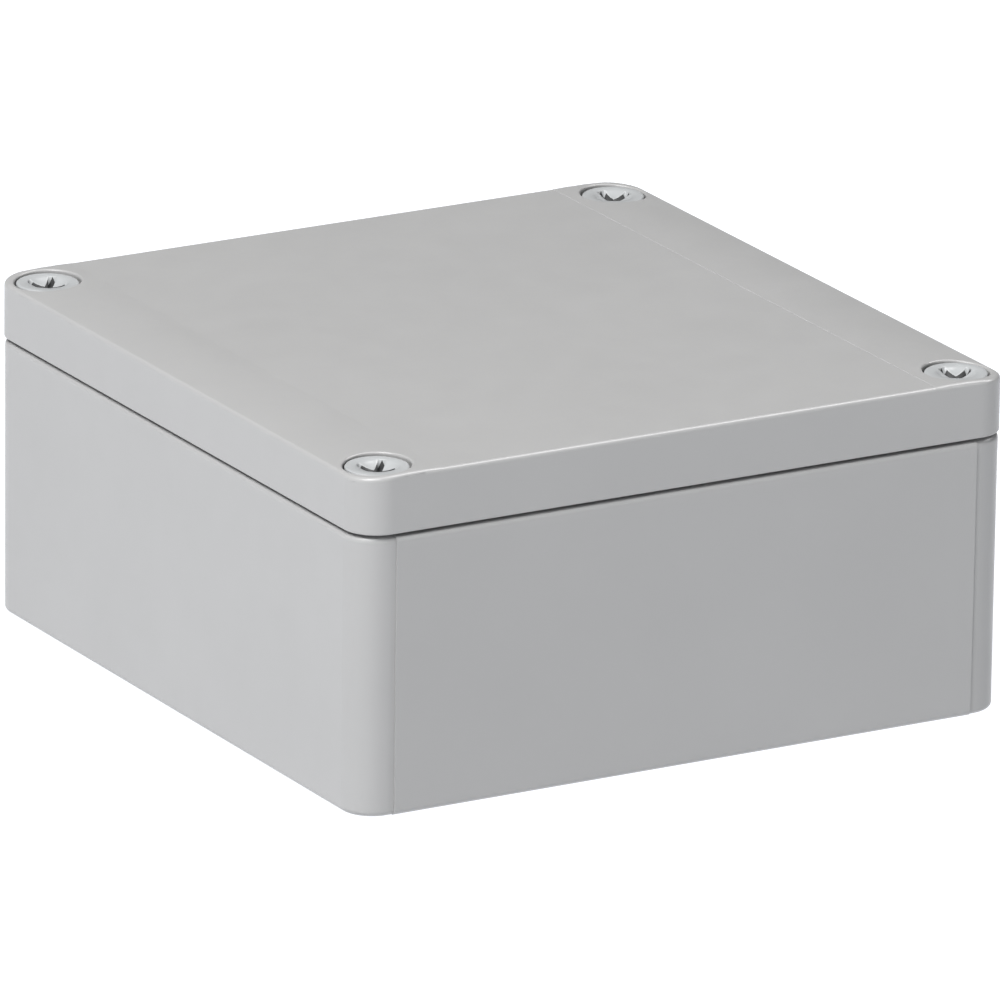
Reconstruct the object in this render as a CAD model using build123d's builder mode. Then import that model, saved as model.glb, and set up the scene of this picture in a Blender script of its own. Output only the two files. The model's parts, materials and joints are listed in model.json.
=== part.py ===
"""Square light-grey plastic junction box: screwed lid, seal, mounting rail and a five-pole terminal strip.

Millimetres. +Z is up with the box lying on its back, X runs along the front face, Y along the side face.
The origin is the centre of the underside.
"""

from build123d import *
import math
import os

# ---- driving dimensions: enclosure ----
WIDTH = 118.0  # X
DEPTH = 122.0  # Y, over the proud front and back panels
HEIGHT = 56.0
CORNER_R = 5.5
LID_BOTTOM_Z = 46.3
SHADOW_GAP = 0.4  # open line between the lid skirt and the rim of the base
RIM_Z = LID_BOTTOM_Z - SHADOW_GAP
DRAFT = 0.15  # degrees
WALL = 3.2
FLOOR = 3.0
RIM_FILLET = 0.95
FOOT_FILLET = 0.9
PANEL_HALF_X = 52.6  # half width of the front and back panels
PANEL_PROUD = 0.3
PANEL_SLAB = 4.0  # thickness of the blocks that carry the panels, sunk in the walls

# ---- seal between the compartment and the lid ----
SEAL_X, SEAL_Y, SEAL_R = 45.0, 59.0, 5.0  # outer face of the tongue: half sizes and corner radius
TONGUE_T = 1.2
TONGUE_TOP_Z = 48.8
GASKET_T = 2.0
GROOVE_PLAY = 0.7  # between the tongue and either side of the groove
GASKET_PLAY = 0.1
GROOVE_RIB = 1.3

# ---- lid ----
LID_PLATE = 2.8
LID_SKIRT = 2.4
LID_FILLET = 0.7
LID_LOWER_FILLET = 0.25
STRIP_HALF_X = 44.8  # the raised side strips start here
STRIP_STEP_RUN = 0.15  # width of the sloping step between a strip and the centre panel
PANEL_SINK = 0.12  # centre panel below the strips
CROWN_R, CROWN_X = 90.0, 48.5  # the strips' tops are crowned: radius and place of the highest line
LID_COLUMN_R = 6.2

# ---- lid screws and their captive rings ----
SCREW_X, SCREW_Y = 52.5, 54.2
BOSS_R = 5.4
WELL_R = 5.4
WELL_LIP = 0.35
HEAD_R = 5.1
HEAD_SINK = 0.5
HEAD_H = 3.05
WEB_T = 1.5  # lid material that the head clamps
RING_POCKET_R = 4.1
RING_R = 3.8
RING_T = 1.0
RING_PLAY = 0.06
RING_SEAT_Z = 41.4
BOSS_HOLLOW_Z = 41.2
NECK_R = 1.75
THREAD_R = 2.5
THREAD_PLAY = 0.08
SHANK_HOLE_R = 2.75
SCREW_TIP_Z = 32.7
BORE_END_Z = 27.2
HEAD_EDGE = 0.3
DISH_R, DISH_DEPTH = 3.3, 1.1
DRIVE_W = 1.3
DRIVE_BLADE = ((3.2, 0.5), (3.2, -1.5), (2.5, -2.6), (1.0, -3.6))  # half outline, out from the axis and up
# Corner sign in X, corner sign in Y, resting angle of the cross drive in degrees.
LID_SCREWS = ((-1, -1, 47), (-1, 1, 48), (1, 1, 8), (1, -1, 15))

# ---- wall fixing holes, in the dry channels beside the sealed compartment ----
FIX_X, FIX_Y = 50.5, 40.0
FIX_HOLE_R = 2.25
FIX_PAD_R, FIX_PAD_H = 4.4, 1.0
PLATE_BOSS_X, PLATE_BOSS_Y = 37.0, 49.0
PLATE_BOSS_R, PLATE_PILOT_R = 3.4, 1.25
UNDER_RECESS = 0.5

# ---- mounting rail, 35 mm top hat ----
RAIL_Z = 8.0  # underside of the rail's web
RAIL_LENGTH = 82.0
RAIL_BEND_R = 0.4
RAIL_W, RAIL_H, RAIL_HAT, RAIL_T = 35.0, 7.5, 27.0, 1.0
RAIL_SLOT_PITCH, RAIL_SLOT_L, RAIL_SLOT_W = 25.0, 15.0, 5.2
RAIL_SCREW_X = 29.0
RAIL_BOSS_R = 4.5
RAIL_SCREW_R, RAIL_SCREW_HEAD_R, RAIL_SCREW_HEAD_H = 1.9, 3.6, 2.4
RAIL_SCREW_TIP_Z = 2.4

# ---- terminals ----
POLES = 5
POLE_PITCH = 6.15
POLE_W = 6.0
POLE_WALL = 0.7
METAL_X = -0.35  # metalwork centre, off the middle because one side of a housing is open
CLAMP_Y = 15.0
BAR_Z, BAR_T, BAR_W, BAR_HALF_Y = 22.0, 1.4, 2.8, 18.3  # heights above the rail's underside
CAGE_Z, CAGE_H, CAGE_W, CAGE_L = 16.6, 12.0, 4.6, 7.2
CAGE_SIDE, CAGE_FLOOR, CAGE_ROOF = 0.7, 1.0, 1.6
CAGE_BEND_R = 0.5
CAGE_TRAVEL = 4.0
CLAMP_THREAD_R, CLAMP_PLAY = 1.5, 0.06
CLAMP_HEAD_Z, CLAMP_HEAD_R, CLAMP_HEAD_H = 33.2, 2.15, 2.2
DRIVER_SLOT_W, DRIVER_SLOT_DEPTH = 0.7, 1.2
WIRE_HOLE_R = 2.0
END_PLATE_T = 1.5
MOULD_EDGE = 0.3  # rounding of the outline edges of the rail-mounted pieces
STOP_W, STOP_H = 8.0, 26.0
STOP_SCREW_R, STOP_HEAD_R, STOP_HEAD_H = 1.5, 2.9, 2.0
MARKER_L, MARKER_W, MARKER_T = 29.0, 5.0, 1.0

STRIP_W = 2 * STOP_W + END_PLATE_T + POLES * POLE_PITCH
STRIP_X = -STRIP_W / 2  # low end of everything clamped on the rail
FIRST_POLE_X = STRIP_X + STOP_W + END_PLATE_T + POLE_PITCH / 2
POLE_XS = [FIRST_POLE_X + i * POLE_PITCH for i in range(POLES)]

HEAD_TOP_Z = HEIGHT - HEAD_SINK
WEB_TOP_Z = HEAD_TOP_Z - HEAD_H
PLATE_UNDER_Z = HEIGHT - LID_PLATE
GROOVE_TOP_Z = TONGUE_TOP_Z + GASKET_T

os.makedirs("parts", exist_ok=True)


def save(piece, name):
    """Label a finished piece and write it as its own STEP file."""
    piece.part.label = name
    export_step(piece.part, f"parts/{name}.step")


def seal_outline(grow, mode=Mode.ADD):
    """The seal's rounded rectangle, grown from the outer face of the tongue."""
    RectangleRounded(2 * (SEAL_X + grow), 2 * (SEAL_Y + grow), SEAL_R + grow, mode=mode)


def corners(x, y):
    """The four places at plus and minus x and y."""
    return Locations((x, y), (x, -y), (-x, y), (-x, -y))


# ---- base ----
with BuildPart() as front_back_panel:
    with BuildSketch(Plane.XY.offset(RIM_Z)):
        with Locations((0, (DEPTH - PANEL_SLAB) / 2), (0, (PANEL_SLAB - DEPTH) / 2)):
            Rectangle(2 * PANEL_HALF_X, PANEL_SLAB)
    extrude(amount=-RIM_Z, taper=DRAFT)
    fillet(front_back_panel.edges().filter_by(Axis.X).group_by(Axis.Z)[-1], RIM_FILLET)
    fillet(front_back_panel.edges().filter_by(Axis.X).group_by(Axis.Z)[0], FOOT_FILLET)

with BuildPart() as base:
    with BuildSketch(Plane.XY.offset(RIM_Z)):
        RectangleRounded(WIDTH, DEPTH - 2 * PANEL_PROUD, CORNER_R)
    extrude(amount=-RIM_Z, taper=DRAFT)
    fillet(base.faces().sort_by(Axis.Z)[-1].edges(), RIM_FILLET)
    fillet(base.faces().sort_by(Axis.Z)[0].edges(), FOOT_FILLET)
    add(front_back_panel.part)
    # sealed compartment in the middle, with the tongue standing above its wall
    with BuildSketch(Plane.XY.offset(RIM_Z)):
        seal_outline(0)
    extrude(amount=TONGUE_TOP_Z - RIM_Z)
    with BuildSketch(Plane.XY.offset(FLOOR)):
        seal_outline(-TONGUE_T)
    extrude(amount=TONGUE_TOP_Z - FLOOR, mode=Mode.SUBTRACT)
    # dry channels outside the seal, between the lid screw bosses
    channel_w = WIDTH / 2 - WALL - SEAL_X
    with BuildSketch(Plane.XY.offset(FLOOR)):
        with Locations((SEAL_X + channel_w / 2, 0), (-SEAL_X - channel_w / 2, 0)):
            Rectangle(channel_w, 2 * SCREW_Y)
        with corners(SCREW_X, SCREW_Y):
            Circle(BOSS_R, mode=Mode.SUBTRACT)
    extrude(amount=RIM_Z - FLOOR, mode=Mode.SUBTRACT)
    # lid screw bosses, which carry the lid just clear of the rim
    with BuildSketch(Plane.XY.offset(RIM_Z)):
        with corners(SCREW_X, SCREW_Y):
            Circle(BOSS_R)
    extrude(amount=LID_BOTTOM_Z - RIM_Z)
    with BuildSketch(Plane.XY.offset(BOSS_HOLLOW_Z)):
        with corners(SCREW_X, SCREW_Y):
            Circle(RING_POCKET_R)
    extrude(amount=LID_BOTTOM_Z - BOSS_HOLLOW_Z, mode=Mode.SUBTRACT)
    with BuildSketch(Plane.XY.offset(BORE_END_Z)):
        with corners(SCREW_X, SCREW_Y):
            Circle(THREAD_R + THREAD_PLAY)
    extrude(amount=BOSS_HOLLOW_Z - BORE_END_Z, mode=Mode.SUBTRACT)
    # rail bosses, plate bosses and the pads round the wall fixing holes
    with BuildSketch(Plane.XY.offset(FLOOR)):
        with Locations((RAIL_SCREW_X, 0), (-RAIL_SCREW_X, 0)):
            Circle(RAIL_BOSS_R)
        with corners(PLATE_BOSS_X, PLATE_BOSS_Y):
            Circle(PLATE_BOSS_R)
    extrude(amount=RAIL_Z - FLOOR)
    with BuildSketch(Plane.XY.offset(FLOOR)):
        with corners(FIX_X, FIX_Y):
            Circle(FIX_PAD_R)
    extrude(amount=FIX_PAD_H)
    with BuildSketch():
        with corners(FIX_X, FIX_Y):
            Circle(FIX_HOLE_R)
    extrude(amount=FLOOR + FIX_PAD_H, mode=Mode.SUBTRACT)
    with BuildSketch(Plane.XY.offset(RAIL_SCREW_TIP_Z - 0.8)):
        with Locations((RAIL_SCREW_X, 0), (-RAIL_SCREW_X, 0)):
            Circle(RAIL_SCREW_R + 0.05)
        with corners(PLATE_BOSS_X, PLATE_BOSS_Y):
            Circle(PLATE_PILOT_R)
    extrude(amount=RAIL_Z, mode=Mode.SUBTRACT)
    # shallow recess under the floor, so that the box stands on its edge
    with BuildSketch():
        RectangleRounded(2 * (SEAL_X - 6), 2 * (SEAL_Y - 6), SEAL_R)
    extrude(amount=UNDER_RECESS, mode=Mode.SUBTRACT)
save(base, "base")

# ---- lid ----
def lid_strip(side):
    """One side strip of the lid with its crowned top; side is -1 for low X and 1 for high X."""
    with BuildPart() as strip:
        with BuildSketch(Plane.XY.offset(LID_BOTTOM_Z)):
            RectangleRounded(WIDTH, DEPTH, CORNER_R)
            with Locations((-side * (WIDTH / 2 - STRIP_HALF_X) / 2, 0)):
                Rectangle(STRIP_HALF_X + WIDTH / 2, DEPTH, mode=Mode.SUBTRACT)
        extrude(amount=HEIGHT - LID_BOTTOM_Z)
        with Locations((side * CROWN_X, 0, HEIGHT - CROWN_R)):
            Cylinder(CROWN_R, 2 * DEPTH, rotation=(90, 0, 0), mode=Mode.INTERSECT)
        rim = strip.faces().sort_by(Axis.Z)[-1].edges().sort_by(lambda edge: side * edge.center().X)
        fillet(rim[1:], LID_FILLET)
        foot = strip.faces().sort_by(Axis.Z)[0].edges().sort_by(lambda edge: side * edge.center().X)
        fillet(foot[1:], LID_LOWER_FILLET)
    return strip


def is_well_mouth(edge):
    """True for the mouth edge of a screw well, on the crowned top of a strip."""
    middle = edge.center(CenterOf.BOUNDING_BOX)
    off_axis = math.hypot(abs(middle.X) - SCREW_X, abs(middle.Y) - SCREW_Y)
    return off_axis < 0.3 and middle.Z > HEIGHT - 0.6 and edge.length > 6 * WELL_R


with BuildPart() as lid_centre:
    with BuildSketch(Plane.XY.offset(LID_BOTTOM_Z)):
        Rectangle(2 * STRIP_HALF_X, DEPTH)
    extrude(amount=HEIGHT - PANEL_SINK - LID_BOTTOM_Z)
    fillet(lid_centre.edges().filter_by(Axis.X).group_by(Axis.Z)[-1], LID_FILLET)
    fillet(lid_centre.edges().filter_by(Axis.X).group_by(Axis.Z)[0], LID_LOWER_FILLET)

with BuildPart() as lid:
    add(lid_centre.part)
    add(lid_strip(-1).part)
    add(lid_strip(1).part)
    # sloping step from the strips down to the centre panel
    with BuildSketch(Plane.XZ):
        with Locations((0, HEIGHT)):
            step_slope = math.degrees(math.atan2(PANEL_SINK, STRIP_STEP_RUN))
            Trapezoid(2 * (STRIP_HALF_X + STRIP_STEP_RUN), PANEL_SINK, step_slope,
                      align=(Align.CENTER, Align.MIN), rotation=180)
    extrude(amount=DEPTH, both=True, mode=Mode.SUBTRACT)
    # hollow over the compartment, inside the seal's inner rib
    with BuildSketch(Plane.XY.offset(LID_BOTTOM_Z)):
        seal_outline(-TONGUE_T - GROOVE_PLAY - GROOVE_RIB)
    extrude(amount=PLATE_UNDER_Z - LID_BOTTOM_Z, mode=Mode.SUBTRACT)
    # groove that holds the seal and takes the tongue
    with BuildSketch(Plane.XY.offset(LID_BOTTOM_Z)):
        seal_outline(GROOVE_PLAY)
        seal_outline(-TONGUE_T - GROOVE_PLAY, mode=Mode.SUBTRACT)
    extrude(amount=GROOVE_TOP_Z - LID_BOTTOM_Z, mode=Mode.SUBTRACT)
    # hollows over the dry channels, between the screw columns
    rib_x = SEAL_X + GROOVE_PLAY + GROOVE_RIB
    hollow_w = WIDTH / 2 - LID_SKIRT - rib_x
    with BuildSketch(Plane.XY.offset(LID_BOTTOM_Z)):
        with Locations((rib_x + hollow_w / 2, 0), (-rib_x - hollow_w / 2, 0)):
            Rectangle(hollow_w, 2 * SCREW_Y)
        with corners(SCREW_X, SCREW_Y):
            Circle(LID_COLUMN_R, mode=Mode.SUBTRACT)
    extrude(amount=PLATE_UNDER_Z - LID_BOTTOM_Z, mode=Mode.SUBTRACT)
    # screw wells: head recess with a broken edge, shank hole, ring pocket
    with BuildSketch(Plane.XY.offset(WEB_TOP_Z)):
        with corners(SCREW_X, SCREW_Y):
            Circle(WELL_R)
    extrude(amount=HEIGHT - WEB_TOP_Z, mode=Mode.SUBTRACT)
    fillet(lid.edges().filter_by(is_well_mouth), WELL_LIP)
    with BuildSketch(Plane.XY.offset(LID_BOTTOM_Z)):
        with corners(SCREW_X, SCREW_Y):
            Circle(SHANK_HOLE_R)
    extrude(amount=HEIGHT - LID_BOTTOM_Z, mode=Mode.SUBTRACT)
    with BuildSketch(Plane.XY.offset(LID_BOTTOM_Z)):
        with corners(SCREW_X, SCREW_Y):
            Circle(RING_POCKET_R)
    extrude(amount=WEB_TOP_Z - WEB_T - LID_BOTTOM_Z, mode=Mode.SUBTRACT)
save(lid, "lid")

with BuildPart() as gasket:
    with BuildSketch(Plane.XY.offset(TONGUE_TOP_Z)):
        seal_outline(GROOVE_PLAY - GASKET_PLAY)
        seal_outline(-TONGUE_T - GROOVE_PLAY + GASKET_PLAY, mode=Mode.SUBTRACT)
    extrude(amount=GASKET_T)
save(gasket, "lid_gasket")

# ---- lid screws: dished head with a cross drive, long neck, thread at the tip ----
for number, (sx, sy, drive_angle) in enumerate(LID_SCREWS, start=1):
    axis_x, axis_y = sx * SCREW_X, sy * SCREW_Y
    thread_top = BOSS_HOLLOW_Z
    dish_ball_r = (DISH_R**2 + DISH_DEPTH**2) / (2 * DISH_DEPTH)
    with BuildPart(Plane((axis_x, axis_y, 0))) as lid_screw:
        with BuildSketch(Plane((axis_x, axis_y, 0), x_dir=(1, 0, 0), z_dir=(0, -1, 0))):
            with BuildLine():
                Polyline(
                    (0, SCREW_TIP_Z), (THREAD_R - 0.8, SCREW_TIP_Z), (THREAD_R, SCREW_TIP_Z + 1.2),
                    (THREAD_R, thread_top), (NECK_R, thread_top), (NECK_R, RING_SEAT_Z + RING_T + 0.3),
                    (NECK_R + 0.5, RING_SEAT_Z + RING_T + 0.6), (NECK_R + 0.5, WEB_TOP_Z),
                    (HEAD_R, WEB_TOP_Z), (HEAD_R, HEAD_TOP_Z), (0, HEAD_TOP_Z), (0, SCREW_TIP_Z),
                )
            make_face()
        revolve(axis=Axis((axis_x, axis_y, 0), (0, 0, 1)))
        fillet(lid_screw.edges().group_by(Axis.Z)[-1], HEAD_EDGE)
        with Locations((0, 0, HEAD_TOP_Z + dish_ball_r - DISH_DEPTH)):
            Sphere(dish_ball_r, mode=Mode.SUBTRACT)
        for blade_angle in (drive_angle, drive_angle + 90):
            across = (math.cos(math.radians(blade_angle)), math.sin(math.radians(blade_angle)), 0)
            with BuildSketch(Plane((axis_x, axis_y, HEAD_TOP_Z), x_dir=across, z_dir=(across[1], -across[0], 0))):
                Polygon(*DRIVE_BLADE, *[(-out, up) for out, up in reversed(DRIVE_BLADE)], align=None)
            extrude(amount=DRIVE_W / 2, both=True, mode=Mode.SUBTRACT)
    save(lid_screw, f"lid_screw_{number}")

    # split captive ring, snapped round the neck
    with BuildPart() as ring:
        with BuildSketch(Plane((axis_x, axis_y, RING_SEAT_Z))):
            Circle(RING_R)
            Circle(NECK_R + RING_PLAY, mode=Mode.SUBTRACT)
            with Locations((RING_R, 0)):
                Rectangle(2 * RING_R, 1.2, mode=Mode.SUBTRACT)
        extrude(amount=RING_T)
    save(ring, f"captive_ring_{number}")

# ---- mounting rail ----
with BuildPart() as rail:
    half_hat, half_w = RAIL_HAT / 2, RAIL_W / 2
    with BuildSketch(Plane((-RAIL_LENGTH / 2, 0, RAIL_Z), x_dir=(0, 1, 0), z_dir=(1, 0, 0))):
        with BuildLine():
            Polyline(
                (-half_w, RAIL_H), (-half_hat + RAIL_T, RAIL_H), (-half_hat + RAIL_T, RAIL_T),
                (half_hat - RAIL_T, RAIL_T), (half_hat - RAIL_T, RAIL_H), (half_w, RAIL_H),
                (half_w, RAIL_H - RAIL_T), (half_hat, RAIL_H - RAIL_T), (half_hat, 0),
                (-half_hat, 0), (-half_hat, RAIL_H - RAIL_T), (-half_w, RAIL_H - RAIL_T), close=True,
            )
        make_face()
    extrude(amount=RAIL_LENGTH)
    bends = rail.edges().filter_by(Axis.X).filter_by_position(Axis.Y, -half_hat - 0.1, half_hat + 0.1)
    fillet(bends, RAIL_BEND_R)
    with BuildSketch(Plane.XY.offset(RAIL_Z)):
        with GridLocations(RAIL_SLOT_PITCH, 0, 3, 1):
            SlotOverall(RAIL_SLOT_L, RAIL_SLOT_W)
    extrude(amount=RAIL_T, mode=Mode.SUBTRACT)
save(rail, "din_rail")

for number, x in enumerate((-RAIL_SCREW_X, RAIL_SCREW_X), start=1):
    head_under = RAIL_Z + RAIL_T
    with BuildPart() as rail_screw:
        with BuildSketch(Plane.XY.offset(RAIL_SCREW_TIP_Z)):
            with Locations((x, 0)):
                Circle(RAIL_SCREW_R)
        extrude(amount=head_under - RAIL_SCREW_TIP_Z)
        chamfer(rail_screw.edges().group_by(Axis.Z)[0], 0.8)
        with BuildSketch(Plane.XY.offset(head_under)):
            with Locations((x, 0)):
                Circle(RAIL_SCREW_HEAD_R)
        extrude(amount=RAIL_SCREW_HEAD_H)
        fillet(rail_screw.edges().group_by(Axis.Z)[-1], 1.2)
        with BuildSketch(Plane.XY.offset(head_under + RAIL_SCREW_HEAD_H)):
            with Locations((x, 0)):
                Rectangle(4.4, 1.1)
                Rectangle(1.1, 4.4)
        extrude(amount=-1.5, taper=10, mode=Mode.SUBTRACT)
    save(rail_screw, f"rail_screw_{number}")

# ---- terminal housings ----
# Half outlines in (Y, height above the rail's underside), from the middle outward and back.
FOOT = ((17.65, 7.55), (17.65, 6.4), (16.2, 6.4), (16.8, 4.6), (19.8, 4.6), (21.0, 8.0))
TERMINAL_HALF = FOOT + ((21.0, 25.0), (18.8, 31.0), (18.8, 36.5), (11.0, 36.5), (9.5, 39.0))
STOP_HALF = FOOT + ((21.0, 14.0), (13.0, 17.0), (13.0, STOP_H))


def rail_block_outline(half):
    """Face of a rail-mounted block: a half outline and its mirror image."""
    Polygon(*half, *[(-y, z) for y, z in reversed(half)], align=None)


def cross_plane(x):
    """Plane across the rail at x, its own X along +Y and its own Y up from the rail's underside."""
    return Plane((x, 0, RAIL_Z), x_dir=(0, 1, 0), z_dir=(1, 0, 0))


def terminal_housing(x):
    """One open-sided housing centred on x."""
    low = x - POLE_W / 2
    metal = x + METAL_X
    with BuildPart() as housing:
        with BuildSketch(cross_plane(low)):
            rail_block_outline(TERMINAL_HALF)
        extrude(amount=POLE_W)
        fillet(housing.edges().filter_by(Axis.X), MOULD_EDGE)
        # clamp chambers and the slot for the current bar
        with BuildSketch(cross_plane(low)):
            with Locations((CLAMP_Y, CAGE_Z - 0.4), (-CLAMP_Y, CAGE_Z - 0.4)):
                Rectangle(CAGE_L + 1.2, 0.9 + CAGE_H + CAGE_TRAVEL, align=(Align.CENTER, Align.MIN))
            with Locations((0, BAR_Z + BAR_T / 2)):
                Rectangle(2 * BAR_HALF_Y, BAR_T + 0.1)
        extrude(amount=POLE_W - POLE_WALL, mode=Mode.SUBTRACT)
        # screwdriver shafts
        with BuildSketch(Plane.XY.offset(RAIL_Z + CLAMP_HEAD_Z - 0.4)):
            with Locations((metal, CLAMP_Y), (metal, -CLAMP_Y)):
                Circle(CLAMP_HEAD_R + 0.2)
        extrude(amount=10, mode=Mode.SUBTRACT)
        # wire entries with a flared mouth
        for side in (-1, 1):
            entry = Plane((metal, side * 21.0, RAIL_Z + CAGE_Z + 3.2), z_dir=(0, -side, 0))
            with BuildSketch(entry):
                Circle(WIRE_HOLE_R + 0.55)
            extrude(amount=1.6, taper=18, mode=Mode.SUBTRACT)
            with BuildSketch(entry):
                Circle(WIRE_HOLE_R)
            extrude(amount=4, mode=Mode.SUBTRACT)
        # seat for the marker strip
        with BuildSketch(Plane.XY.offset(RAIL_Z + 39.0)):
            with Locations((x, 0)):
                Rectangle(POLE_W, MARKER_W + 0.1)
        extrude(amount=-MARKER_T, mode=Mode.SUBTRACT)
    return housing


def clamp_cage(x, y):
    """Rising cage: a closed loop round the current bar, with the threaded hole in its roof."""
    with BuildPart() as cage:
        face = Plane((x, y, RAIL_Z + CAGE_Z), x_dir=(1, 0, 0), z_dir=(0, -1, 0))
        with BuildSketch(face):
            Rectangle(CAGE_W, CAGE_H, align=(Align.CENTER, Align.MIN))
            with Locations((0, CAGE_FLOOR)):
                Rectangle(CAGE_W - 2 * CAGE_SIDE, CAGE_H - CAGE_FLOOR - CAGE_ROOF,
                          align=(Align.CENTER, Align.MIN), mode=Mode.SUBTRACT)
        extrude(amount=CAGE_L / 2, both=True)
        fillet(cage.edges().filter_by(Axis.Y).group_by(Axis.Z)[0], CAGE_BEND_R)
        fillet(cage.edges().filter_by(Axis.Y).group_by(Axis.Z)[-1], CAGE_BEND_R)
        with BuildSketch(Plane.XY.offset(RAIL_Z + CAGE_Z + CAGE_H)):
            with Locations((x, y)):
                Circle(CLAMP_THREAD_R + CLAMP_PLAY)
        extrude(amount=-CAGE_ROOF, mode=Mode.SUBTRACT)
    return cage


def slotted_screw(x, y, tip_z, head_z, shank_r, head_r, head_h):
    """Cheese-head screw standing on tip_z with its head's underside at head_z."""
    with BuildPart() as screw:
        with BuildSketch(Plane((x, y, tip_z))):
            Circle(shank_r)
        extrude(amount=head_z - tip_z)
        with BuildSketch(Plane((x, y, head_z))):
            Circle(head_r)
        extrude(amount=head_h)
        chamfer(screw.edges().group_by(Axis.Z)[-1], 0.3)
        with BuildSketch(Plane((x, y, head_z + head_h))):
            Rectangle(2 * head_r, DRIVER_SLOT_W)
        extrude(amount=-DRIVER_SLOT_DEPTH, mode=Mode.SUBTRACT)
    return screw


clamp_number = 0
for pole, pole_x in enumerate(POLE_XS, start=1):
    metal_x = pole_x + METAL_X
    save(terminal_housing(pole_x), f"terminal_housing_{pole}")
    with BuildPart() as current_bar:
        with BuildSketch(Plane.XY.offset(RAIL_Z + BAR_Z)):
            with Locations((metal_x, 0)):
                Rectangle(BAR_W, 2 * BAR_HALF_Y - 0.4)
        extrude(amount=BAR_T)
    save(current_bar, f"current_bar_{pole}")
    for clamp_y in (-CLAMP_Y, CLAMP_Y):
        clamp_number += 1
        save(clamp_cage(metal_x, clamp_y), f"clamp_cage_{clamp_number}")
        clamp_screw = slotted_screw(metal_x, clamp_y, RAIL_Z + BAR_Z + BAR_T, RAIL_Z + CLAMP_HEAD_Z,
                                    CLAMP_THREAD_R, CLAMP_HEAD_R, CLAMP_HEAD_H)
        save(clamp_screw, f"clamp_screw_{clamp_number}")

# ---- end plate, end stops with their screws, marker strip ----
with BuildPart() as end_plate:
    with BuildSketch(cross_plane(STRIP_X + STOP_W + 0.05)):
        rail_block_outline(TERMINAL_HALF)
    extrude(amount=END_PLATE_T - 0.1)
    fillet(end_plate.edges().filter_by(Axis.X), MOULD_EDGE)
save(end_plate, "end_plate")

for number, stop_x in enumerate((STRIP_X, -STRIP_X - STOP_W), start=1):
    middle = stop_x + STOP_W / 2
    with BuildPart() as end_stop:
        with BuildSketch(cross_plane(stop_x)):
            rail_block_outline(STOP_HALF)
        extrude(amount=STOP_W)
        fillet(end_stop.edges().filter_by(Axis.X), MOULD_EDGE)
        with BuildSketch(Plane.XY.offset(RAIL_Z)):
            with Locations((middle, 0)):
                Circle(STOP_SCREW_R + 0.05)
        extrude(amount=STOP_H + 1, mode=Mode.SUBTRACT)
        with BuildSketch(Plane.XY.offset(RAIL_Z + STOP_H)):
            with Locations((middle, 0)):
                Circle(STOP_HEAD_R + 0.15)
        extrude(amount=-STOP_HEAD_H - 1, mode=Mode.SUBTRACT)
    save(end_stop, f"end_stop_{number}")
    stop_screw = slotted_screw(middle, 0, RAIL_Z + RAIL_T, RAIL_Z + STOP_H - STOP_HEAD_H - 1,
                               STOP_SCREW_R, STOP_HEAD_R, STOP_HEAD_H)
    save(stop_screw, f"end_stop_screw_{number}")

with BuildPart() as marker_strip:
    with BuildSketch(Plane.XY.offset(RAIL_Z + 39.0 - MARKER_T)):
        with Locations((sum(POLE_XS) / POLES, 0)):
            RectangleRounded(MARKER_L, MARKER_W, 0.4)
    extrude(amount=MARKER_T + 0.4)
    with BuildSketch(Plane.XY.offset(RAIL_Z + 39.4)):
        for gap_x in [x + POLE_PITCH / 2 for x in POLE_XS[:-1]]:
            with Locations((gap_x, 0)):
                Rectangle(0.4, MARKER_W)
    extrude(amount=-0.8, mode=Mode.SUBTRACT)
save(marker_strip, "marker_strip")
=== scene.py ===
"""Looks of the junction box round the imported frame: materials, threads, seal, camera, light."""
import json
import math

import bmesh
import bpy
from mathutils import Matrix, Vector


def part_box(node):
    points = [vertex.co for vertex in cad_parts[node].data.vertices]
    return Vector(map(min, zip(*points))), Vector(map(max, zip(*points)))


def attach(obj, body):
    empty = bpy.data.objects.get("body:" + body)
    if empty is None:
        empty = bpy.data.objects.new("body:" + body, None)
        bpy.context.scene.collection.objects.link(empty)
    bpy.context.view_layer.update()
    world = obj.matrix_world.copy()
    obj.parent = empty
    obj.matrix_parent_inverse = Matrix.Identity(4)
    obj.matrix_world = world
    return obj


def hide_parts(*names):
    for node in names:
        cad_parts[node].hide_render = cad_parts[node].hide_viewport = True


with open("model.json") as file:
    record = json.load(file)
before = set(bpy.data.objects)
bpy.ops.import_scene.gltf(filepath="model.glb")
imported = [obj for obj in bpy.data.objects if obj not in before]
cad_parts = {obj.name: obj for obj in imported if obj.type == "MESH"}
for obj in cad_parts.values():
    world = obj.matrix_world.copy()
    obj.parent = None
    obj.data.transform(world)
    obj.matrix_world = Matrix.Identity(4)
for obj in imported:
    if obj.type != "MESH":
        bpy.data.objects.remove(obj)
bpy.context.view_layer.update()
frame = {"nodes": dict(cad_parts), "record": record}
MM = 0.001


# ---- camera and light ----
# Lengths are in metres, but the lens and the sensor are in millimetres.
AZIMUTH, ELEVATION, ROLL = (math.radians(degrees) for degrees in (-29.904, 17.961, 0.761))
CAMERA_DISTANCE = 2.5382
LENS, SENSOR_WIDTH = 571.15, 36.0
AIM_HEIGHT = 0.03177
AIM_RIGHT, AIM_DOWN = 0.000564, 0.005077  # shift of the aim across the view
LIGHT_TARGET = Vector((0, 0, 0.03))
WORLD_STRENGTH = 0.12


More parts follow.
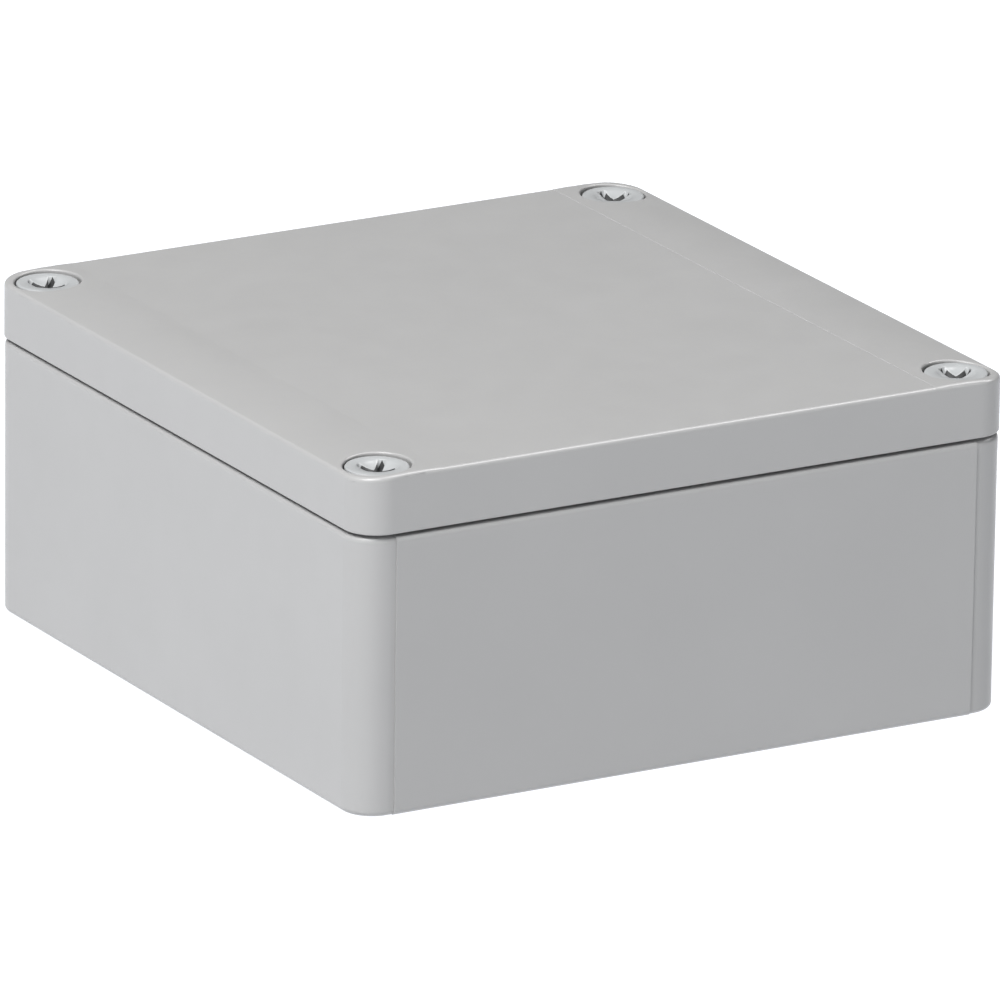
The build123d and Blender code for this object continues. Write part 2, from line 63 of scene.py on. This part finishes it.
def place_camera():
    """Camera behind its aim, rolled a little about its own axis."""
    back = Vector((math.sin(AZIMUTH) * math.cos(ELEVATION),
                   -math.cos(AZIMUTH) * math.cos(ELEVATION),
                   math.sin(ELEVATION)))
    level_right = Vector((math.cos(AZIMUTH), math.sin(AZIMUTH), 0))
    level_up = back.cross(level_right)
    right = math.cos(ROLL) * level_right + math.sin(ROLL) * level_up
    up = back.cross(right)
    aim = Vector((0, 0, AIM_HEIGHT)) + right * AIM_RIGHT - up * AIM_DOWN
    place = aim + back * CAMERA_DISTANCE
    data = bpy.data.cameras.new("camera")
    data.lens = LENS
    data.sensor_width = SENSOR_WIDTH
    camera = bpy.data.objects.new("camera", data)
    bpy.context.scene.collection.objects.link(camera)
    camera.matrix_world = Matrix.Translation(place) @ Matrix((right, up, back)).transposed().to_4x4()
    bpy.context.scene.camera = camera


def area_light(name, place, size, watts, diffuse=True, glossy=True):
    """Rectangular lamp aimed at the box; it can be left out of the diffuse or of the glossy light."""
    data = bpy.data.lights.new(name, "AREA")
    data.shape = "RECTANGLE"
    data.size, data.size_y = size
    data.energy = watts
    lamp = bpy.data.objects.new(name, data)
    bpy.context.scene.collection.objects.link(lamp)
    lamp.location = place
    lamp.rotation_euler = (LIGHT_TARGET - Vector(place)).to_track_quat("-Z", "Y").to_euler()
    lamp.visible_diffuse = diffuse
    lamp.visible_glossy = glossy


def light_scene():
    world = bpy.data.worlds.new("studio")
    world.use_nodes = True
    background = world.node_tree.nodes["Background"]
    background.inputs["Color"].default_value = (1.0, 1.0, 1.0, 1)
    background.inputs["Strength"].default_value = WORLD_STRENGTH
    bpy.context.scene.world = world
    area_light("key", place=(-0.64, -0.35, 1.27), size=(0.8, 0.8), watts=37.2)
    area_light("edge_softbox", place=(0.84, -0.25, 1.23), size=(0.4, 1.5), watts=30.0,
               diffuse=False)
    area_light("back_fill", place=(1.1, 1.2, 0.42), size=(1.2, 0.8), watts=7.0, glossy=False)
    bpy.context.scene.view_settings.view_transform = "Standard"


FLOOR_HALF = 8.0
FLOOR_GLOW_COLOUR, FLOOR_GLOW_STRENGTH = (0.94, 0.96, 1.0, 1), 1.07


def lay_floor():
    """Wide pale floor that gives off light, so that it stays white to its edges."""
    mesh = bpy.data.meshes.new("floor")
    corners = [(sx * FLOOR_HALF, sy * FLOOR_HALF, 0)
               for sx, sy in ((-1, -1), (1, -1), (1, 1), (-1, 1))]
    mesh.from_pydata(corners, [], [(0, 1, 2, 3)])
    floor = bpy.data.objects.new("floor", mesh)
    bpy.context.scene.collection.objects.link(floor)
    material, tree, shader = new_material("pale_floor")
    shader.inputs["Roughness"].default_value = 0.9
    shader.inputs["Specular IOR Level"].default_value = 0.1
    noise = noise_node(tree, scale=3.0, detail=2)
    pale = colour_mix(tree, noise.outputs["Fac"], (0.18, 0.18, 0.18), (0.2, 0.2, 0.2))
    tree.links.new(pale, shader.inputs["Base Color"])
    shader.inputs["Emission Color"].default_value = FLOOR_GLOW_COLOUR
    shader.inputs["Emission Strength"].default_value = FLOOR_GLOW_STRENGTH
    mesh.materials.append(material)


# ---- node helpers ----
def new_material(name):
    material = bpy.data.materials.new(name)
    material.use_nodes = True
    tree = material.node_tree
    return material, tree, tree.nodes["Principled BSDF"]


def object_coordinates(tree, stretch=(1, 1, 1)):
    """Object-space coordinates in metres, stretched by a factor on each axis."""
    source = tree.nodes.new("ShaderNodeTexCoord")
    mapping = tree.nodes.new("ShaderNodeMapping")
    mapping.inputs["Scale"].default_value = stretch
    tree.links.new(source.outputs["Object"], mapping.inputs["Vector"])
    return mapping.outputs["Vector"]


def noise_node(tree, scale, detail, stretch=(1, 1, 1), roughness=0.5):
    noise = tree.nodes.new("ShaderNodeTexNoise")
    noise.inputs["Scale"].default_value = scale
    noise.inputs["Detail"].default_value = detail
    noise.inputs["Roughness"].default_value = roughness
    tree.links.new(object_coordinates(tree, stretch), noise.inputs["Vector"])
    return noise


def colour_mix(tree, factor, low, high):
    mix = tree.nodes.new("ShaderNodeMix")
    mix.data_type = "RGBA"
    mix.inputs["A"].default_value = (*low, 1)
    mix.inputs["B"].default_value = (*high, 1)
    tree.links.new(factor, mix.inputs["Factor"])
    return mix.outputs["Result"]


def remap(tree, value, low, high, from_low=0.3, from_high=0.7):
    node = tree.nodes.new("ShaderNodeMapRange")
    node.inputs["From Min"].default_value = from_low
    node.inputs["From Max"].default_value = from_high
    node.inputs["To Min"].default_value = low
    node.inputs["To Max"].default_value = high
    tree.links.new(value, node.inputs["Value"])
    return node.outputs["Result"]


def bump(tree, shader, heights):
    """Chain of bumps: each entry is (height socket, depth in metres)."""
    last = None
    for height, depth in heights:
        node = tree.nodes.new("ShaderNodeBump")
        node.inputs["Strength"].default_value = 1.0
        node.inputs["Distance"].default_value = depth
        tree.links.new(height, node.inputs["Height"])
        if last is not None:
            tree.links.new(last, node.inputs["Normal"])
        last = node.outputs["Normal"]
    tree.links.new(last, shader.inputs["Normal"])


# ---- materials ----
COLOUR_VARIATION = 0.03  # share of the colour
ROUGHNESS_BELOW, ROUGHNESS_ABOVE = 0.02, 0.06
GRAIN_DEPTH, WAVE_DEPTH = 0.000005, 0.00005
EARTH_GREEN, EARTH_YELLOW = (0.03, 0.28, 0.07, 1), (0.72, 0.62, 0.03, 1)
YELLOW_FROM, YELLOW_TO = 0.36, 0.68  # shares of the housing's thickness


def moulded_plastic(name, colour, roughness=0.42, grain=1.0):
    """Injection-moulded plastic: faint flow mottling, spark-eroded grain and slow sink waves."""
    material, tree, shader = new_material(name)
    mottle = noise_node(tree, scale=45, detail=3)
    low = [c * (1 - COLOUR_VARIATION) for c in colour]
    high = [min(1.0, c * (1 + COLOUR_VARIATION)) for c in colour]
    tree.links.new(colour_mix(tree, mottle.outputs["Fac"], low, high), shader.inputs["Base Color"])
    patches = noise_node(tree, scale=160, detail=4)
    uneven = remap(tree, patches.outputs["Fac"], roughness - ROUGHNESS_BELOW,
                   roughness + ROUGHNESS_ABOVE)
    tree.links.new(uneven, shader.inputs["Roughness"])
    shader.inputs["Specular IOR Level"].default_value = 0.45
    fine = noise_node(tree, scale=3600, detail=2)
    waves = noise_node(tree, scale=28, detail=2)
    bump(tree, shader, [(fine.outputs["Fac"], GRAIN_DEPTH * grain),
                        (waves.outputs["Fac"], WAVE_DEPTH)])
    return material


def zinc_plated(name, colour=(0.62, 0.63, 0.64), roughness=0.3, along=(1, 1, 1)):
    """Bright zinc on steel: drawn streaks and the faint blue and straw patches of the passivation."""
    material, tree, shader = new_material(name)
    shader.inputs["Metallic"].default_value = 1.0
    patches = noise_node(tree, scale=220, detail=3)
    warm = [colour[0] * 1.05, colour[1] * 1.0, colour[2] * 0.9]
    cool = [colour[0] * 0.94, colour[1] * 0.98, colour[2] * 1.06]
    tree.links.new(colour_mix(tree, patches.outputs["Fac"], warm, cool), shader.inputs["Base Color"])
    streaks = noise_node(tree, scale=900, detail=5, stretch=along, roughness=0.6)
    tree.links.new(remap(tree, streaks.outputs["Fac"], roughness - 0.07, roughness + 0.12),
                   shader.inputs["Roughness"])
    bump(tree, shader, [(streaks.outputs["Fac"], 0.00002)])
    return material


def foam_rubber(name):
    """Black foamed seal: closed skin with fine pores."""
    material, tree, shader = new_material(name)
    pores = tree.nodes.new("ShaderNodeTexVoronoi")
    pores.inputs["Scale"].default_value = 2600
    tree.links.new(object_coordinates(tree), pores.inputs["Vector"])
    dark = colour_mix(tree, pores.outputs["Distance"], (0.028, 0.028, 0.03), (0.06, 0.06, 0.064))
    tree.links.new(dark, shader.inputs["Base Color"])
    shader.inputs["Roughness"].default_value = 0.78
    skin = noise_node(tree, scale=500, detail=4)
    bump(tree, shader, [(pores.outputs["Distance"], 0.00006), (skin.outputs["Fac"], 0.00008)])
    return material


def earth_stripes(name, low_x, high_x):
    """Green housing with a yellow band along its middle, as one two-colour moulding."""
    material, tree, shader = new_material(name)
    source = tree.nodes.new("ShaderNodeTexCoord")
    split = tree.nodes.new("ShaderNodeSeparateXYZ")
    tree.links.new(source.outputs["Object"], split.inputs["Vector"])
    position = remap(tree, split.outputs["X"], 0.0, 1.0, low_x, high_x)
    ramp = tree.nodes.new("ShaderNodeValToRGB")
    ramp.color_ramp.interpolation = "CONSTANT"
    stops = ramp.color_ramp.elements
    stops[0].position, stops[0].color = 0.0, EARTH_GREEN
    stops[1].position, stops[1].color = YELLOW_FROM, EARTH_YELLOW
    last = stops.new(YELLOW_TO)
    last.color = EARTH_GREEN
    tree.links.new(position, ramp.inputs["Fac"])
    tree.links.new(ramp.outputs["Color"], shader.inputs["Base Color"])
    patches = noise_node(tree, scale=300, detail=3)
    tree.links.new(remap(tree, patches.outputs["Fac"], 0.38, 0.5), shader.inputs["Roughness"])
    fine = noise_node(tree, scale=5200, detail=2)
    bump(tree, shader, [(fine.outputs["Fac"], 0.00001)])
    return material


def paint(node, material):
    """Give a CAD node its finished material."""
    mesh = frame["nodes"][node].data
    mesh.materials.clear()
    mesh.materials.append(material)


def make_materials():
    """One finished material for each slot of the record, and a few for single pieces."""
    low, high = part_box("terminal_housing_5")
    return {
        "enclosure": moulded_plastic("enclosure_plastic", (0.342, 0.341, 0.34), roughness=0.31),
        "screw_plastic": moulded_plastic("screw_plastic", (0.37, 0.38, 0.386), roughness=0.32,
                                         grain=0.6),
        "ring_plastic": moulded_plastic("ring_plastic", (0.72, 0.71, 0.66), roughness=0.4,
                                        grain=0.6),
        "terminal_grey": moulded_plastic("terminal_grey", (0.25, 0.255, 0.255), roughness=0.45),
        "terminal_blue": moulded_plastic("terminal_blue", (0.02, 0.11, 0.36), roughness=0.42),
        "terminal_earth": earth_stripes("terminal_earth", low.x, high.x),
        "marker_white": moulded_plastic("marker_white", (0.78, 0.78, 0.76), roughness=0.36,
                                        grain=0.5),
        "seal": foam_rubber("seal_foam"),
        "zinc_steel": zinc_plated("zinc"),
        "tinned_copper": zinc_plated("tinned_copper", colour=(0.72, 0.68, 0.6), roughness=0.26,
                                     along=(1, 0.05, 1)),
        "rail": zinc_plated("rail_zinc", along=(0.05, 1, 1)),
        # Near-black painted shade for the deep cross recess of the lid screws, standing in for the
        # shade there.
        "recess": moulded_plastic("recess_shade", (0.02, 0.021, 0.022), roughness=0.6,
                                  grain=0.6),
    }


def finish_materials(materials):
    """Paint every CAD node with the material of its slot; the rail's streaks run its own way."""
    for entry in frame["record"]["subparts"]:
        paint(entry["node"], materials[entry["material_slot"]])
    paint("din_rail", materials["rail"])


# ---- screws with real threads ----
# Shank length from the tip, outer radius, core radius, pitch and length of the pointed tip,
# all in millimetres.
THREADS = {
    "lid_screw": (8.5, 2.5, 1.9, 2.0, 1.2),
    "rail_screw": (6.6, 1.9, 1.35, 1.1, 1.6),
    "clamp_screw": (9.8, 1.5, 1.22, 0.5, 0.3),
    "end_stop_screw": (22.0, 1.5, 1.22, 0.5, 0.3),
}
THREAD_STEPS = 28  # mesh steps in one turn
THREAD_START = 0.4  # share of the pointed tip that has no thread
TIP_SHARE = 0.45  # radius of the tip's end, as a share of the core's
RIDGE_WIDTH = 0.6  # share of the pitch
RIDGE_ROOT = 0.94  # the ridge starts this share of the core's radius out, inside the core
FADE_IN, FADE_OUT, LEAST_CREST = 0.5, 0.35, 0.04  # turns, turns, share of the ridge's height
CUT_CLEAR = 0.00002  # metres that the CAD head is cut above the end of its thread
# Painted shade is given to faces that lie within this reach of the axis and this far below the top of
# the head, both in millimetres, and where the upright part of the face's normal is under this. The
# same test also gives the painted shade to the neck below the head.
RECESS_REACH, RECESS_TOP, RECESS_WALL = 3.25, 0.75, 0.6


def body_of_node(node):
    bodies = frame["record"]["behaviour"]["bodies"]
    return next(body for body, nodes in bodies.items() if node in nodes)


def point_about(bm, centre, radius, angle, height):
    return bm.verts.new((centre[0] + radius * math.cos(angle),
                         centre[1] + radius * math.sin(angle), height))


def ring_of_points(bm, centre, radius, height):
    return [point_about(bm, centre, radius, 2 * math.pi * i / THREAD_STEPS, height)
            for i in range(THREAD_STEPS)]


def join_sections(bm, pairs):
    """Quads between each closed outline and the next one."""
    for before, after in pairs:
        for i in range(len(before)):
            j = (i + 1) % len(before)
            bm.faces.new((before[i], after[i], after[j], before[j]))


def skin_rings(bm, rings):
    """Closed skin through a stack of rings, capped at both ends."""
    for low, high in zip(rings, rings[1:]):
        for i in range(len(low)):
            j = (i + 1) % len(low)
            bm.faces.new((low[i], low[j], high[j], high[i]))
    bm.faces.new(tuple(reversed(rings[0])))
    bm.faces.new(tuple(rings[-1]))


def add_core(bm, centre, tip_z, top_z, core, point):
    """Plain core of the shank with its pointed tip."""
    skin_rings(bm, [ring_of_points(bm, centre, core * TIP_SHARE, tip_z),
                    ring_of_points(bm, centre, core, tip_z + point),
                    ring_of_points(bm, centre, core, top_z)])


def add_thread(bm, centre, low_z, high_z, outer, core, pitch):
    """Helical ridge on the core: a trapezoid swept up a helix and faded out at both ends."""
    turns = (high_z - low_z) / pitch - RIDGE_WIDTH
    count = max(2, round(turns * THREAD_STEPS))
    sections = []
    for i in range(count + 1):
        angle = 2 * math.pi * i / THREAD_STEPS
        height = low_z + pitch * i / THREAD_STEPS
        fade = min(1.0, i / (THREAD_STEPS * FADE_IN), (count - i) / (THREAD_STEPS * FADE_OUT))
        crest = core + (outer - core) * max(LEAST_CREST, fade)
        outline = ((core * RIDGE_ROOT, 0.0), (core, 0.02), (crest, 0.24),
                   (crest, 0.36), (core, 0.58), (core * RIDGE_ROOT, RIDGE_WIDTH))
        sections.append([point_about(bm, centre, radius, angle, height + pitch * share)
                         for radius, share in outline])
    join_sections(bm, zip(sections, sections[1:]))
    bm.faces.new(tuple(sections[0]))
    bm.faces.new(tuple(reversed(sections[-1])))


def finished_piece(bm, name, materials, sharp_degrees=35):
    """Turn mesh code into a smooth-shaded object in the scene."""
    bmesh.ops.recalc_face_normals(bm, faces=bm.faces)
    mesh = bpy.data.meshes.new(name)
    bm.to_mesh(mesh)
    bm.free()
    for material in materials:
        mesh.materials.append(material)
    mesh.shade_smooth()
    mesh.set_sharp_from_angle(angle=math.radians(sharp_degrees))
    piece = bpy.data.objects.new(name, mesh)
    bpy.context.scene.collection.objects.link(piece)
    return piece


def threaded_screw(node, kind, material, recess=None):
    """The node's own head and neck on a shank with a real thread."""
    length, outer, core, pitch, point = (value * MM for value in THREADS[kind])
    low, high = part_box(node)
    centre = ((low.x + high.x) / 2, (low.y + high.y) / 2)
    shank_top = low.z + length
    bm = bmesh.new()
    bm.from_mesh(frame["nodes"][node].data)
    bmesh.ops.remove_doubles(bm, verts=bm.verts, dist=1e-7)
    cut = bmesh.ops.bisect_plane(bm, geom=bm.verts[:] + bm.edges[:] + bm.faces[:], dist=1e-8,
                                 plane_co=(0, 0, shank_top + CUT_CLEAR), plane_no=(0, 0, -1),
                                 clear_outer=True)
    rim = [item for item in cut["geom_cut"] if isinstance(item, bmesh.types.BMEdge)]
    bmesh.ops.holes_fill(bm, edges=rim)
    # Painted shade: steep faces deep in the head get the dark second material.
    if recess is not None:
        for face in bm.faces:
            middle = face.calc_center_median()
            reach = math.hypot(middle.x - centre[0], middle.y - centre[1])
            deep = middle.z < high.z - RECESS_TOP * MM and middle.z > shank_top
            if reach < RECESS_REACH * MM and deep and abs(face.normal.z) < RECESS_WALL:
                face.material_index = 1
    add_core(bm, centre, low.z, shank_top + CUT_CLEAR, core, point)
    add_thread(bm, centre, low.z + point * THREAD_START, shank_top, outer, core, pitch)
    piece = finished_piece(bm, node + "_threaded", [m for m in (material, recess) if m])
    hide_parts(node)
    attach(piece, body_of_node(node))


def thread_all_screws(materials):
    for entry in frame["record"]["subparts"]:
        kind = entry["node"].rstrip("0123456789").rstrip("_")
        if kind in THREADS:
            slot = entry["material_slot"]
            # Lid screws also get the painted shade in their recess.
            recess = materials["recess"] if kind == "lid_screw" else None
            threaded_screw(entry["node"], kind, materials[slot], recess)


# ---- foam seal ----
SEAL_CORNER_R = 5.6 * MM  # outer corner
SEAL_CORNER_STEPS = 12
# Section from the middle of the underside outward and up, as shares of the half width and of
# the height.
# The tongue presses a flat track into the underside, and the foam bulges beside it.
SEAL_SECTION = ((-0.52, 0.0), (-0.6, -0.1), (-0.78, -0.13), (-0.94, -0.04), (-1.0, 0.12), (-1.0, 0.82),
                (-0.93, 0.95), (-0.78, 1.0), (0.78, 1.0), (0.93, 0.95), (1.0, 0.82), (1.0, 0.12),
                (0.94, -0.04), (0.78, -0.13), (0.6, -0.1), (0.52, 0.0))
SEAL_HALF_WIDTH = 1.2 * MM


def seal_route(half_x, half_y, corner):
    """Points round a rounded rectangle with the outward direction at each."""
    route = []
    for start, (sx, sy) in zip((0, 90, 180, 270), ((1, 1), (-1, 1), (-1, -1), (1, -1))):
        for i in range(SEAL_CORNER_STEPS + 1):
            angle = math.radians(start + 90 * i / SEAL_CORNER_STEPS)
            out = Vector((math.cos(angle), math.sin(angle), 0))
            centre = Vector((sx * (half_x - corner), sy * (half_y - corner), 0))
            route.append((centre + out * corner, out))
    return route


def make_seal(material):
    """Moulded-in foam seal, pressed by the tongue of the base."""
    low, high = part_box("lid_gasket")
    height = high.z - low.z
    bm = bmesh.new()
    rings = []
    route = seal_route(high.x - SEAL_HALF_WIDTH, high.y - SEAL_HALF_WIDTH,
                       SEAL_CORNER_R - SEAL_HALF_WIDTH)
    for point, out in route:
        rings.append([bm.verts.new(point + out * (across * SEAL_HALF_WIDTH)
                                   + Vector((0, 0, low.z + upward * height)))
                      for across, upward in SEAL_SECTION])
    join_sections(bm, zip(rings, rings[1:] + rings[:1]))
    piece = finished_piece(bm, "foam_seal", [material], sharp_degrees=50)
    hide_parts("lid_gasket")
    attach(piece, "lid")


place_camera()
light_scene()
lay_floor()
finished = make_materials()
finish_materials(finished)
thread_all_screws(finished)
make_seal(finished["seal"])
